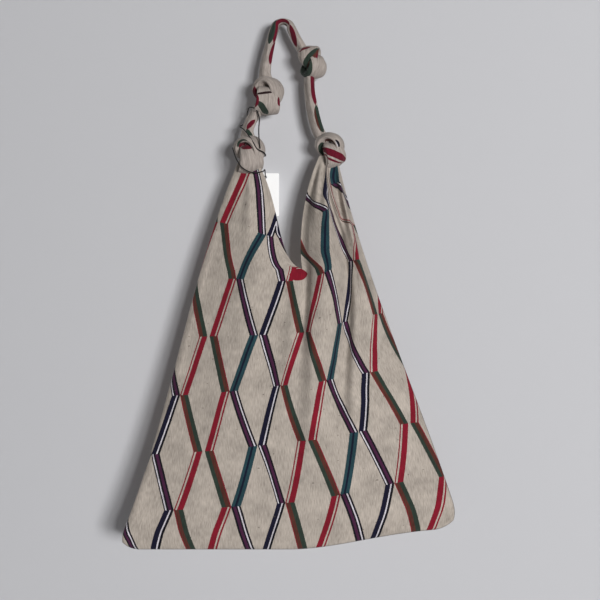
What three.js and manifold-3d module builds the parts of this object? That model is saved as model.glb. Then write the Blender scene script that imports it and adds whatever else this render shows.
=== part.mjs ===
// Knotted cloth tote bag, as it hangs by its strap.
// Two tapered cloth panels are sewn together down both sides and along the hem.
// Above the mouth each side runs up into a horn, and a cloth strap tied in four
// overhand knots joins the two horns. A blank swing tag hangs by a thin cord.
//
// Millimetres. x runs to the right, y to the back and z up. The origin is the
// underside of the strap at its top, where a shoulder carries the bag.
import * as THREE from 'three';
import { LoftGeometry } from 'three/addons/geometries/LoftGeometry.js';
import { ParametricGeometry } from 'three/addons/geometries/ParametricGeometry.js';
import { mergeGeometries, mergeVertices } from 'three/addons/utils/BufferGeometryUtils.js';
import Module from 'manifold-3d';

const wasm = await Module();
wasm.setup();

// Cloth
const CLOTH = 1.4; // thickness of one panel
const FIT = 0.3; // gap between pieces that lie against each other

// Body outline, seen from the front
const HEM_WIDTH = 436; // corner to corner, before the corners are rounded
const HEM_SHIFT = 7; // middle of the hem, right of the hanging point
const HEM_DROP = 662; // hanging point down to the hem
const HEM_LIFT = 26; // how much higher the right corner hangs
const LEFT_CORNER_ROUND = 30;
const RIGHT_CORNER_ROUND = 36;
const NOTCH_SHIFT = 24; // bottom of the mouth, right of the hanging point
const NOTCH_DROP = 309; // hanging point down to the bottom of the mouth
const LEFT_LOW_SWAY = 19; // how far each side seam wanders to the right below
const RIGHT_LOW_SWAY = 4;
const LEFT_HIGH_SWAY = 16; // and to the left above
const RIGHT_HIGH_SWAY = 17;
const LEFT_MOUTH_BOW = 33; // how far each edge of the mouth bows out
const RIGHT_MOUTH_BOW = 19;
const LEFT_NOTCH_RISE = 8; // how steeply each edge of the mouth leaves its bottom
const RIGHT_NOTCH_RISE = 40;
const RIGHT_NOTCH_LEAN = 6;
const LEFT_MOUTH_DROP = 50; // how far below a knot each edge of the mouth bends
const RIGHT_MOUTH_DROP = 38;

// Fullness of the body, measured out from the plane of the side seams
const FRONT_BULGE = 22;
const BACK_BULGE = 9;
const FRONT_FOLD = 26; // the big fold that hangs from the right knot
const FRONT_EDGE_FOLD = 15; // the smaller fold beside it, along the right side
const FRONT_LEFT_FOLD = 8; // soft swell down the left horn
const FRONT_SLACK = 5; // slack cloth below the mouth
const BACK_FOLD = 9;

// Strap
const STRAP_WIDTH = 17;
const STRAP_THICK = 13;
const TOP_THICK = 6.4; // where the strap is pressed flat at its top
const LIMB_THICK = 11; // where it hangs down on both sides of that
const TOP_BEND = 5; // radius of the strap's underside there
const KNOT_TURN = 12; // radius of the turn inside a knot
const KNOT_CROSS = 6; // how far the crossing strands part inside it
const KNOT_BAND = 28; // width of the cloth where it wraps the outside of a knot
const KNOT_BAND_THICK = 8;
const KNOT_CORE = 13; // width of the cloth where it is squeezed inside a knot
const KNOT_CORE_THICK = 10.5;
const TIP_WIDTH = 22; // width of a horn where it enters its knot

// Places of the knots, right of the hanging point and below it
const LOWER_LEFT_SHIFT = -45;
const LOWER_LEFT_DROP = 165;
const UPPER_LEFT_SHIFT = -22;
const UPPER_LEFT_DROP = 91;
const UPPER_RIGHT_SHIFT = 35;
const UPPER_RIGHT_DROP = 49;
const LOWER_RIGHT_SHIFT = 57;
const LOWER_RIGHT_DROP = 160;

// Knots, from the left horn over the top to the right horn: place, size, lean of
// the knot and of the strap below and above it, turn about the strap, hand
const KNOTS = [
  { x: LOWER_LEFT_SHIFT, z: -LOWER_LEFT_DROP, size: 1.12, lean: 4,
    below: 0, above: 1, spin: 132, hand: 1 },
  { x: UPPER_LEFT_SHIFT, z: -UPPER_LEFT_DROP, size: 1.12, lean: 14,
    below: 30, above: -2, spin: 128, hand: 1 },
  { x: UPPER_RIGHT_SHIFT, z: -UPPER_RIGHT_DROP, size: 0.95, lean: -16,
    below: 4, above: -32, spin: 100, hand: -1 },
  { x: LOWER_RIGHT_SHIFT, z: -LOWER_RIGHT_DROP, size: 1.05, lean: -6,
    below: 0, above: -27, spin: 136, hand: 1 },
];

// Swing tag and its cord
const TAG_WIDTH = 35;
const TAG_HEIGHT = 55;
const TAG_THICK = 0.8;
const TAG_CORNER = 1.5;
const TAG_EYE = 2; // radius of the hole for the cord
const TAG_EYE_DROP = 5; // hole below the top edge
const TAG_SHIFT = 22; // tag's middle, right of the lower left knot
const TAG_DROP = 20; // tag's top edge, below the knot's middle
const TAG_CLEAR = 2; // tag behind the back panel's fullest place
const CORD = 1.5; // diameter
const CORD_LEAD = 5; // straight length of cord in front of the eye
const CORD_TAIL = 2.5; // length of cord behind the eye

// Facets
const ACROSS_STEPS = 12; // columns in each half of a panel
const BELOW_STEPS = 15; // rows from the hem to the mouth
const ABOVE_STEPS = 11; // rows from the mouth to a knot
const CLOSER = 1.3; // how much closer the rows and columns lie near the hem and sides
const STRAP_SIDES = 8;
const CORD_SIDES = 8;
const CORD_STEPS = 76;
const KNOT_STEPS = 14;
const LENGTH_STEPS = 5; // sections in each length of the strap
const RUN_STEP = 15; // spacing of the strap's sections between its knots
const SHORTEST = 0.02; // shortest edge kept where strands of the strap meet
const HAIR = 0.1; // how much fuller every other length of the strap is

const rad = THREE.MathUtils.degToRad;
const { lerp, smoothstep: smooth } = THREE.MathUtils;
const bump = (t, at, width) => Math.exp(-(((t - at) / width) ** 2));
const v2 = (x, z) => new THREE.Vector2(x, z);
const v3 = (x, y, z) => new THREE.Vector3(x, y, z);

// Solids

// A closed geometry, with its vertices joined.
function joined(geometry) {
  const bare = new THREE.BufferGeometry();
  bare.setAttribute('position', geometry.attributes.position);
  bare.setIndex(geometry.index);
  return mergeVertices(bare, 1e-4);
}

function solid(geometry) {
  const merged = joined(geometry);
  return new wasm.Manifold(
    new wasm.Mesh({
      numProp: 3,
      vertProperties: merged.attributes.position.array,
      triVerts: new Uint32Array(merged.index.array),
      tolerance: SHORTEST,
    }),
  );
}

// The largest body of a manifold solid, as a geometry.
function geometryOf(made) {
  const largest = made.decompose().sort((p, q) => q.volume() - p.volume())[0];
  const mesh = largest.getMesh();
  const geometry = new THREE.BufferGeometry();
  geometry.setAttribute('position', new THREE.BufferAttribute(mesh.vertProperties, 3));
  geometry.setIndex(new THREE.BufferAttribute(mesh.triVerts, 1));
  geometry.computeVertexNormals();
  return geometry;
}

// Strap

// One section of the strap: its middle, the way its flat side faces, and its size.
const station = (at, face, width, thick) => ({ at, face, width, thick });

// The way up, leaning over to the right by some degrees.
const leaning = (lean) => v3(Math.sin(rad(lean)), 0, Math.cos(rad(lean)));

const middleOf = ({ x, z }) => v3(x, 0, z);

// Distance from a knot's middle to where the strap has left it.
const leadOf = ({ size }) => (KNOT_TURN + KNOT_CROSS + KNOT_BAND_THICK) * size;

// Stations of the strap up through an overhand knot: an opened trefoil. The strand
// goes once and a third round the knot while it crosses itself three times. It is
// squeezed where it runs through the knot and spreads where it wraps the outside.
function knotStations(knot) {
  const { size, lean, below, above, spin, hand } = knot;
  const middle = middleOf(knot);
  const along = leaning(lean);
  const out = leaning(lean + 90).applyAxisAngle(along, rad(spin));
  const through = v3().crossVectors(out, along).multiplyScalar(hand);
  const run = (at) => station(at, through, STRAP_WIDTH, STRAP_THICK);
  const stations = [run(middle.clone().addScaledVector(leaning(below), -leadOf(knot)))];
  for (let i = 0; i <= KNOT_STEPS; i++) {
    const t = rad(300 - (240 * i) / KNOT_STEPS);
    const r = KNOT_TURN + KNOT_CROSS * Math.cos(3 * t);
    const from = v3(0, 0, 0)
      .addScaledVector(out, r * Math.cos(2 * t) * size)
      .addScaledVector(along, r * Math.sin(2 * t) * size)
      .addScaledVector(through, KNOT_CROSS * Math.sin(3 * t) * size);
    const wide = (1 + Math.cos(3 * t)) / 2;
    const width = lerp(KNOT_CORE, KNOT_BAND, wide) * size;
    const thick = lerp(KNOT_CORE_THICK, KNOT_BAND_THICK, wide) * size;
    stations.push(station(from.clone().add(middle), from, width, thick));
  }
  stations.push(run(middle.clone().addScaledVector(leaning(above), leadOf(knot))));
  return stations;
}

// Stations over the top: half a turn, with the strap pressed flat at its highest place.
function topStations() {
  return [185, 153, 122, 90, 58, 27, -5].map((angle) => {
    const face = v3(Math.cos(rad(angle)), 0, Math.sin(rad(angle)));
    const thick = lerp(LIMB_THICK, TOP_THICK, Math.max(0, face.z));
    const at = face.clone().multiplyScalar(TOP_BEND + thick / 2).add(v3(0, 0, -TOP_BEND));
    return station(at, face, STRAP_WIDTH, thick);
  });
}

// An end of the strap, sewn into the tip of its horn inside the lower knot.
function endStation(knot) {
  const at = middleOf(knot).addScaledVector(leaning(knot.below), -leadOf(knot) * 0.7);
  return station(at, v3(0, -1, 0), STRAP_WIDTH * 0.8, STRAP_THICK * 0.5);
}

function strapStations() {
  const [lowerLeft, upperLeft, upperRight, lowerRight] = KNOTS;
  return [
    endStation(lowerLeft),
    ...knotStations(lowerLeft).slice(1),
    ...knotStations(upperLeft),
    ...topStations(),
    ...knotStations(upperRight).reverse(),
    ...knotStations(lowerRight).slice(1).reverse(),
    endStation(lowerRight),
  ];
}

// Rings of points round the strap, along a smooth path through the stations.
function strapRings(stations, grow) {
  const path = new THREE.CatmullRomCurve3(stations.map((s) => s.at), false, 'centripetal');
  const rings = [];
  let before = null;
  const ring = (i, part) => {
    const here = stations[i];
    const next = stations[Math.min(i + 1, stations.length - 1)];
    const t = (i + part) / (stations.length - 1);
    const forward = path.getTangent(t);
    const across = (face) => face.clone().addScaledVector(forward, -face.dot(forward)).normalize();
    const up = across(here.face);
    if (before && up.dot(before) < 0) up.negate();
    const ahead = across(next.face);
    if (ahead.dot(up) < 0) ahead.negate();
    up.lerp(ahead, part).normalize();
    before = up;
    const aside = v3().crossVectors(up, forward);
    const width = lerp(here.width, next.width, part) / 2 + grow;
    const thick = lerp(here.thick, next.thick, part) / 2 + grow;
    const points = [];
    for (let k = 0; k < STRAP_SIDES; k++) {
      const angle = (2 * Math.PI * k) / STRAP_SIDES;
      const point = path.getPoint(t).addScaledVector(aside, width * Math.cos(angle));
      points.push(point.addScaledVector(up, thick * Math.sin(angle)));
    }
    rings.push(points);
  };
  for (let i = 0; i + 1 < stations.length; i++) {
    const span = stations[i].at.distanceTo(stations[i + 1].at);
    const steps = Math.max(1, Math.round(span / RUN_STEP));
    for (let k = 0; k < steps; k++) ring(i, k / steps);
  }
  ring(stations.length - 1, 0);
  return rings;
}

// The strap as one body: short lengths of it that overlap by half a section at
// each end, every other one a hair fuller, so that no two faces lie in one surface.
function strapSolid(grow) {
  const stations = strapStations();
  const rings = [strapRings(stations, grow), strapRings(stations, grow + HAIR)];
  const last = rings[0].length - 1;
  const halfway = (p, q) => p.map((point, k) => point.clone().lerp(q[k], 0.5));
  let whole = null;
  for (let i = 0, n = 0; i < last; i += LENGTH_STEPS, n++) {
    const own = rings[n % 2];
    const end = Math.min(i + LENGTH_STEPS, last);
    const lengths = own.slice(i, end + 1);
    if (i > 0) lengths.unshift(halfway(own[i - 1], own[i]));
    if (end < last) lengths.push(halfway(own[end], own[end + 1]));
    const part = solid(new LoftGeometry(lengths, { capStart: true, capEnd: true }));
    whole = whole ? whole.add(part) : part;
  }
  return whole;
}

const strap = strapSolid(0);
const strapRoom = strapSolid(FIT);

// Panels

const notch = v2(NOTCH_SHIFT, -NOTCH_DROP);
const hemMiddle = v2(HEM_SHIFT, -HEM_DROP);
const corner = {
  left: v2(HEM_SHIFT - HEM_WIDTH / 2, -HEM_DROP),
  right: v2(HEM_SHIFT + HEM_WIDTH / 2, HEM_LIFT - HEM_DROP),
};

// Where a horn ends inside its knot: the side seam's end and the mouth's end.
function tipEnds(knot, side) {
  const foot = v2(knot.x, knot.z - KNOT_TURN * 0.6);
  const across = v2(side, 0).multiplyScalar(TIP_WIDTH / 2);
  return { seam: foot.clone().add(across), mouth: foot.clone().sub(across) };
}
const tip = { left: tipEnds(KNOTS[0], -1), right: tipEnds(KNOTS[3], 1) };

// A curve between two points whose ends set off towards two control points.
const curve = (...points) => new THREE.CubicBezierCurve(...points);

// A nearly straight seam that wanders to the right below and to the left above.
function swayed(from, to, lowSway, highSway) {
  const along = to.clone().sub(from);
  const aside = v2(along.y, -along.x).normalize();
  const low = from.clone().addScaledVector(along, 1 / 3).addScaledVector(aside, lowSway);
  const high = from.clone().addScaledVector(along, 2 / 3).addScaledVector(aside, -highSway);
  return curve(from, low, high, to);
}

// Outline of each half: side seam up, hem from the side to the middle, mouth up.
const outline = {
  left: {
    seam: swayed(corner.left, tip.left.seam, LEFT_LOW_SWAY, LEFT_HIGH_SWAY),
    hem: curve(
      corner.left,
      corner.left.clone().lerp(hemMiddle, 1 / 3),
      corner.left.clone().lerp(hemMiddle, 2 / 3),
      hemMiddle,
    ),
    mouth: curve(
      notch,
      v2(notch.x - LEFT_MOUTH_BOW, notch.y + LEFT_NOTCH_RISE),
      v2(tip.left.mouth.x + LEFT_MOUTH_BOW, tip.left.mouth.y - LEFT_MOUTH_DROP),
      tip.left.mouth,
    ),
    tip: curve(
      tip.left.seam,
      tip.left.seam.clone().lerp(tip.left.mouth, 1 / 3),
      tip.left.seam.clone().lerp(tip.left.mouth, 2 / 3),
      tip.left.mouth,
    ),
  },
  right: {
    seam: swayed(corner.right, tip.right.seam, RIGHT_LOW_SWAY, RIGHT_HIGH_SWAY),
    hem: curve(
      corner.right,
      v2(lerp(corner.right.x, hemMiddle.x, 0.4), corner.right.y),
      v2(lerp(corner.right.x, hemMiddle.x, 0.7), hemMiddle.y),
      hemMiddle,
    ),
    mouth: curve(
      notch,
      v2(notch.x - RIGHT_NOTCH_LEAN, notch.y + RIGHT_NOTCH_RISE),
      v2(tip.right.mouth.x - RIGHT_MOUTH_BOW, tip.right.mouth.y - RIGHT_MOUTH_DROP),
      tip.right.mouth,
    ),
    tip: curve(
      tip.right.seam,
      tip.right.seam.clone().lerp(tip.right.mouth, 1 / 3),
      tip.right.seam.clone().lerp(tip.right.mouth, 2 / 3),
      tip.right.mouth,
    ),
  },
};

// Share of a side seam's height at which the mouth begins.
const MOUTH_AT = (HEM_DROP - NOTCH_DROP) / (HEM_DROP + KNOTS[0].z);

// A point of half a panel in the plane of the side seams; `a` runs from the side
// seam to the middle or the mouth, `b` from the hem to the tip of the horn.
function inPlane(half, a, b) {
  const { seam, hem, mouth, tip: top } = outline[half];
  const inner = (t) =>
    t <= MOUTH_AT
      ? hemMiddle.clone().lerp(notch, t / MOUTH_AT)
      : mouth.getPoint((t - MOUTH_AT) / (1 - MOUTH_AT));
  const point = seam.getPoint(b).multiplyScalar(1 - a);
  point.addScaledVector(inner(b), a);
  point.addScaledVector(hem.getPoint(a), 1 - b);
  point.addScaledVector(top.getPoint(a), b);
  point.addScaledVector(seam.getPoint(0), -(1 - a) * (1 - b));
  point.addScaledVector(inner(0), -a * (1 - b));
  point.addScaledVector(seam.getPoint(1), -(1 - a) * b);
  point.addScaledVector(inner(1), -a * b);
  const round = half === 'left' ? LEFT_CORNER_ROUND : RIGHT_CORNER_ROUND;
  const near = Math.max(0, 1 - point.distanceTo(corner[half]) / round);
  const pull = 0.29 * round * near ** 1.7;
  return point.add(v2(half === 'left' ? pull : -pull, pull));
}

// How far half a panel stands out from the plane of the side seams.
function depth(panel, half, a, b) {
  const full = 1 - Math.exp(-b / 0.13);
  const taper = 1 - 0.7 * smooth(b, 0.5, 1);
  const swell = full * taper * Math.sin((Math.PI / 2) * a) ** 0.8;
  const ends = smooth(a, 0, 0.1) * smooth(1 - a, 0, 0.16);
  const gather = smooth(b, 0.08, 0.72) * (1 - 0.95 * smooth(b, 0.84, 1)) * ends;
  if (panel === 'back') {
    const fold = half === 'left' ? bump(a, 0.5, 0.22) * 0.6 : bump(a, 0.42, 0.2);
    return BACK_BULGE * swell + BACK_FOLD * gather * fold;
  }
  const slack = FRONT_SLACK * bump(b, 0.52, 0.16) * bump(a, 1, 0.12);
  const hang = FRONT_BULGE * swell + slack;
  if (half === 'left') return hang + FRONT_LEFT_FOLD * gather * bump(a, 0.55, 0.22);
  // the valley between the two folds drifts from the side to the middle on its way down
  const valley = 0.53 - 0.31 * smooth(b, 0.3, 0.82);
  const big = FRONT_FOLD * bump(a, valley + 0.32, 0.2);
  const edge = FRONT_EDGE_FOLD * bump(a, valley / 2, valley / 3);
  return hang + gather * (big + edge);
}

// A panel of cloth with the thickness of the cloth. Both halves share the middle.
function panelSolid(panel) {
  const side = panel === 'front' ? -1 : 1;
  const at = (half, a, b, layer) => {
    const { x, y } = inPlane(half, a, b);
    const out = FIT / 2 + depth(panel, half, a, b) + CLOTH * (1 - layer);
    return v3(x, side * out, y);
  };
  const patches = [];
  // `turn` swaps the two directions, which turns the patch over
  const patch = (point, columns, rows, turn) => {
    const over = turn !== side > 0;
    const made = over
      ? new ParametricGeometry((u, v, to) => to.copy(point(v, u)), rows, columns)
      : new ParametricGeometry((u, v, to) => to.copy(point(u, v)), columns, rows);
    patches.push(made);
  };
  const spans = [
    { from: 0, to: MOUTH_AT, rows: BELOW_STEPS },
    { from: MOUTH_AT, to: 1, rows: ABOVE_STEPS },
  ];
  const column = (t) => t ** CLOSER;
  for (const half of ['left', 'right']) {
    const right = half === 'right';
    for (const { from, to, rows } of spans) {
      const level = (t) => (from ? lerp(from, to, t) : to * t ** CLOSER);
      patch((u, v) => at(half, column(u), level(v), 0), ACROSS_STEPS, rows, right);
      patch((u, v) => at(half, column(u), level(v), 1), ACROSS_STEPS, rows, !right);
      patch((u, v) => at(half, 0, level(u), v), rows, 1, right);
    }
    patch((u, v) => at(half, 1, lerp(MOUTH_AT, 1, u), v), ABOVE_STEPS, 1, !right);
    patch((u, v) => at(half, column(u), 0, v), ACROSS_STEPS, 1, !right);
    patch((u, v) => at(half, column(u), 1, v), ACROSS_STEPS, 1, right);
  }
  return solid(mergeGeometries(patches));
}

// Swing tag and cord

const tagKnot = middleOf(KNOTS[0]);

// How far behind the seams the tag hangs: clear of the back panel's left horn.
const TAG_BACK = FIT / 2 + BACK_BULGE + BACK_FOLD + CLOTH + TAG_CLEAR;
const tagMiddle = tagKnot
  .clone()
  .add(v3(TAG_SHIFT, TAG_BACK, -TAG_DROP - TAG_HEIGHT / 2));

function tagGeometry() {
  const w = TAG_WIDTH / 2;
  const h = TAG_HEIGHT / 2;
  const r = TAG_CORNER;
  const card = new THREE.Shape();
  card.absarc(w - r, h - r, r, 0, Math.PI / 2);
  card.absarc(r - w, h - r, r, Math.PI / 2, Math.PI);
  card.absarc(r - w, r - h, r, Math.PI, 1.5 * Math.PI);
  card.absarc(w - r, r - h, r, 1.5 * Math.PI, 2 * Math.PI);
  card.closePath();
  const eye = new THREE.Path();
  eye.absarc(0, h - TAG_EYE_DROP, TAG_EYE, 0, 2 * Math.PI, true);
  card.holes.push(eye);
  const geometry = new THREE.ExtrudeGeometry(card, {
    depth: TAG_THICK,
    bevelEnabled: false,
    curveSegments: 5,
  });
  geometry.translate(0, 0, -TAG_THICK / 2);
  geometry.rotateX(Math.PI / 2);
  geometry.translate(tagMiddle.x, tagMiddle.y, tagMiddle.z);
  return geometry;
}

// The cord, from where its two strands meet in front of the lower left knot, up
// round the strap and back, round behind the knot and under it to the tag's eye.
// Each point is measured from the middle of the lower left knot.
const CORD_POINTS = [
  [17, -18.5, 5],
  [15.5, -16, 18],
  [15, -12, 31],
  [15.5, -10.5, 44],
  [12, -12.5, 54],
  [4, -9.5, 58],
  [0, -1, 53],
  [-1, 9, 48.5],
  [-4, 8.5, 41],
  [-9.5, 0, 36],
  [-4, -9, 30.5],
  [5, -17, 18],
  [9.3, -22.3, 10.5],
  [13.5, -21.5, 4],
  [21, -14, 1],
  [22.5, 2, -1],
  [11, 15.5, 3],
  [-8, 14.5, 6],
  [-18.5, 2, 9],
  [-16.5, -11, 3],
  [-12.5, -17, -8],
  [-6, -19.5, -18],
  [3, -17, -23.5],
  [12, -13.5, -24.5],
  [20.5, -10, -22],
  [21.5, -3, -19.5],
  [22, 5, -18.5],
].map(([x, y, z]) => tagKnot.clone().add(v3(x, y, z)));

function cordGeometry() {
  // the end goes through the eye, at the top of it
  const eye = tagMiddle
    .clone()
    .add(v3(0, 0, TAG_HEIGHT / 2 - TAG_EYE_DROP + TAG_EYE - CORD / 2 - FIT));
  const end = [-CORD_LEAD, 0, CORD_TAIL].map((y) => eye.clone().add(v3(0, y, 0)));
  const section = new THREE.Shape();
  section.absarc(0, 0, CORD / 2, 0, 2 * Math.PI);
  return new THREE.ExtrudeGeometry(section, {
    steps: CORD_STEPS,
    curveSegments: CORD_SIDES / 2,
    extrudePath: new THREE.CatmullRomCurve3([...CORD_POINTS, ...end], false, 'centripetal'),
  });
}

const group = new THREE.Group();
function add(name, geometry, color, roughness) {
  const mesh = new THREE.Mesh(
    geometry,
    new THREE.MeshStandardMaterial({ color, roughness }),
  );
  mesh.name = name;
  group.add(mesh);
}
add('front_panel', geometryOf(panelSolid('front').subtract(strapRoom)), 0xcfc5b6, 0.95);
add('back_panel', geometryOf(panelSolid('back').subtract(strapRoom)), 0xcfc5b6, 0.95);
add('strap', geometryOf(strap), 0xcfc5b6, 0.95);
add('swing_tag', joined(tagGeometry()), 0xf4f4f2, 0.6);
add('tag_cord', joined(cordGeometry()), 0x17181b, 0.8);

export default group;
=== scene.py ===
"""Knotted cloth tote bag: the finish of every surface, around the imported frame.

Lengths are in millimetres until a mesh is made, x to the right, y to the back and
z up, from the underside of the strap at its top. The cloth is one cotton weave:
its flat coordinates, columns across and rows up, carry the zig-zag bands.
"""

import bmesh
import bpy
import numpy as np
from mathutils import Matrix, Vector


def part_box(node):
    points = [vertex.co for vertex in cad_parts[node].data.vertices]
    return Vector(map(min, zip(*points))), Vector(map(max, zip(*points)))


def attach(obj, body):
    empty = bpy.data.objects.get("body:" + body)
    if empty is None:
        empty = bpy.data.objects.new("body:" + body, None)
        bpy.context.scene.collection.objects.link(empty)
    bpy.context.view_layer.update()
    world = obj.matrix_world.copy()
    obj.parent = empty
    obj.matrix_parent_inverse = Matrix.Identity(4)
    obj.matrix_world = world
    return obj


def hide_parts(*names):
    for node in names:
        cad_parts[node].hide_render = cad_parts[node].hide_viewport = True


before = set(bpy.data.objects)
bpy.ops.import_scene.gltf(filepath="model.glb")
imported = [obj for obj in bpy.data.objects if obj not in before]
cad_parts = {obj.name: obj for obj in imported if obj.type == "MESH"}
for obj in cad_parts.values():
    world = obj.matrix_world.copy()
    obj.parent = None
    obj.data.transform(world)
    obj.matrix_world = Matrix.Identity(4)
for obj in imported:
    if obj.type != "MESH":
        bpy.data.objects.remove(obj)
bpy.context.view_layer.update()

MM = 0.001

# Cloth
CLOTH = 1.4
FIT = 0.3

# Body outline, seen from the front
HEM_WIDTH = 436
HEM_SHIFT = 7
HEM_DROP = 662
HEM_LIFT = 26
CORNER_ROUND = {"left": 30, "right": 36}
CORNER_PULL = 0.29  # how far a corner is pulled in, as a share of its rounding
CORNER_EASE = 1.7  # power with which that grows towards the corner
RIGHT_HEM_BEND = (0.4, 0.7)  # shares of the way from the right corner to the middle
NOTCH_SHIFT = 24
NOTCH_DROP = 309
LOW_SWAY = {"left": 19, "right": 4}
HIGH_SWAY = {"left": 16, "right": 17}
LEFT_MOUTH_BOW = 33
RIGHT_MOUTH_BOW = 19
LEFT_NOTCH_RISE = 8
RIGHT_NOTCH_RISE = 40
RIGHT_NOTCH_LEAN = 6
LEFT_MOUTH_DROP = 50
RIGHT_MOUTH_DROP = 38

# Fullness of the body, out from the plane of the side seams
FRONT_BULGE = 22
BACK_BULGE = 9
FRONT_FOLD = 23
FRONT_EDGE_FOLD = 15
FRONT_LEFT_FOLD = 8
FRONT_SLACK = 5
BACK_FOLD = 9

# Strap and its knots: place, size, leans, turn about the strap, hand
STRAP_WIDTH = 17
STRAP_THICK = 13
TOP_THICK = 6.4
LIMB_THICK = 11
TOP_BEND = 5
KNOT_TURN = 12
KNOT_CROSS = 6
KNOT_BAND = 28
KNOT_BAND_THICK = 8
KNOT_CORE = 20
KNOT_CORE_THICK = 15
TIP_WIDTH = 22
TIP_DROP = 0.6  # below the middle of a knot, in radii of its turn
KNOTS = [
    dict(x=-45, z=-165, size=1.12, lean=4, below=0, above=1, spin=132, hand=1),
    dict(x=-22, z=-91, size=1.12, lean=14, below=30, above=-2, spin=128, hand=1),
    dict(x=35, z=-49, size=0.95, lean=-16, below=4, above=-32, spin=100, hand=-1),
    dict(x=57, z=-160, size=1.05, lean=-6, below=0, above=-27, spin=136, hand=1),
]

# Cord, from the middle of the lower left knot
CORD = 1.5
CORD_POINTS = [
    (17, -18.5, 5), (15.5, -16, 18), (15, -12, 31), (15.5, -10.5, 44), (12, -12.5, 54),
    (4, -9.5, 58), (0, -1, 53), (-1, 9, 48.5), (-4, 8.5, 41), (-9.5, 0, 36),
    (-4, -9, 30.5), (5, -17, 18), (9.3, -22.3, 10.5), (13.5, -21.5, 4), (21, -14, 1),
    (22.5, 2, -1), (11, 15.5, 3), (-8, 14.5, 6), (-18.5, 2, 9), (-16.5, -11, 3),
    (-12.5, -17, -8), (-6, -19.5, -18), (3, -17, -23.5), (12, -13.5, -24.5),
    (20.5, -10, -22), (21.5, -3, -19.5), (22, 5, -18.5),
]

# Woven pattern
COLUMN = 69  # flat width of one diamond
ROW = 72  # flat height of half a diamond

MOUTH_AT = (HEM_DROP - NOTCH_DROP) / (HEM_DROP + KNOTS[0]["z"])


def smooth(t, low, high):
    """0 below low, 1 above high, and 3x^2 - 2x^3 of the share x between them."""
    x = np.clip((t - low) / (high - low), 0, 1)
    return x * x * (3 - 2 * x)


def bump(t, at, width):
    """A bell: e to the minus square of the distance from `at`, in widths."""
    return np.exp(-(((t - at) / width) ** 2))


def unit(v):
    """Vectors brought to length 1."""
    return v / np.linalg.norm(v, axis=-1, keepdims=True)


def ripples(seed, count, shortest, longest):
    """A fixed soft unevenness of the plane: a mean of `count` sine waves, each with a
    direction, phase and length between shortest and longest drawn from the seed."""
    draw = np.random.default_rng(seed)
    angle = draw.uniform(0, np.pi, count)
    wave = 2 * np.pi / draw.uniform(shortest, longest, count)
    phase = draw.uniform(0, 2 * np.pi, count)

    def height(x, z):
        way = x[..., None] * np.cos(angle) + z[..., None] * np.sin(angle)
        return np.sin(way * wave + phase).mean(-1)

    return height


# Outline of the panels, in the plane of the side seams


def bezier(*corners):
    """The cubic curve through the first and last of four points."""
    p = [np.asarray(c, float) for c in corners]

    def at(t):
        t = np.asarray(t, float)[..., None]
        s = 1 - t
        return s**3 * p[0] + 3 * s * s * t * p[1] + 3 * s * t * t * p[2] + t**3 * p[3]

    return at


def swayed(start, end, low, high):
    """A nearly straight seam: a cubic that wanders to the right below and left above."""
    along = end - start
    aside = np.array([along[1], -along[0]]) / np.linalg.norm(along)
    return bezier(start, start + along / 3 + aside * low, start + along * 2 / 3 - aside * high, end)


notch = np.array([NOTCH_SHIFT, -NOTCH_DROP], float)
hem_middle = np.array([HEM_SHIFT, -HEM_DROP], float)
corner = {
    "left": np.array([HEM_SHIFT - HEM_WIDTH / 2, -HEM_DROP]),
    "right": np.array([HEM_SHIFT + HEM_WIDTH / 2, HEM_LIFT - HEM_DROP]),
}


def tip_ends(knot, side):
    """Where a horn ends inside its knot: the end of its seam, the end of its mouth."""
    foot = np.array([knot["x"], knot["z"] - TIP_DROP * KNOT_TURN])
    across = np.array([side * TIP_WIDTH / 2, 0])
    return foot + across, foot - across


tip = {"left": tip_ends(KNOTS[0], -1), "right": tip_ends(KNOTS[3], 1)}
seam = {
    half: swayed(corner[half], tip[half][0], LOW_SWAY[half], HIGH_SWAY[half]) for half in corner
}


def between(p, q, share):
    """The place at a share of the way from p to q."""
    return p + (q - p) * share


hem = {
    "left": bezier(
        corner["left"],
        between(corner["left"], hem_middle, 1 / 3),
        between(corner["left"], hem_middle, 2 / 3),
        hem_middle,
    ),
    "right": bezier(
        corner["right"],
        (between(corner["right"][0], hem_middle[0], RIGHT_HEM_BEND[0]), corner["right"][1]),
        (between(corner["right"][0], hem_middle[0], RIGHT_HEM_BEND[1]), hem_middle[1]),
        hem_middle,
    ),
}
mouth = {
    "left": bezier(
        notch,
        notch + [-LEFT_MOUTH_BOW, LEFT_NOTCH_RISE],
        tip["left"][1] + [LEFT_MOUTH_BOW, -LEFT_MOUTH_DROP],
        tip["left"][1],
    ),
    "right": bezier(
        notch,
        notch + [-RIGHT_NOTCH_LEAN, RIGHT_NOTCH_RISE],
        tip["right"][1] + [-RIGHT_MOUTH_BOW, -RIGHT_MOUTH_DROP],
        tip["right"][1],
    ),
}


def inner_line(half, b):
    """Middle of the panel up to the mouth, then the edge of the mouth."""
    low = hem_middle + (notch - hem_middle) * (b / MOUTH_AT)[..., None]
    high = mouth[half](np.clip((b - MOUTH_AT) / (1 - MOUTH_AT), 0, 1))
    return np.where((b <= MOUTH_AT)[..., None], low, high)


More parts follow.
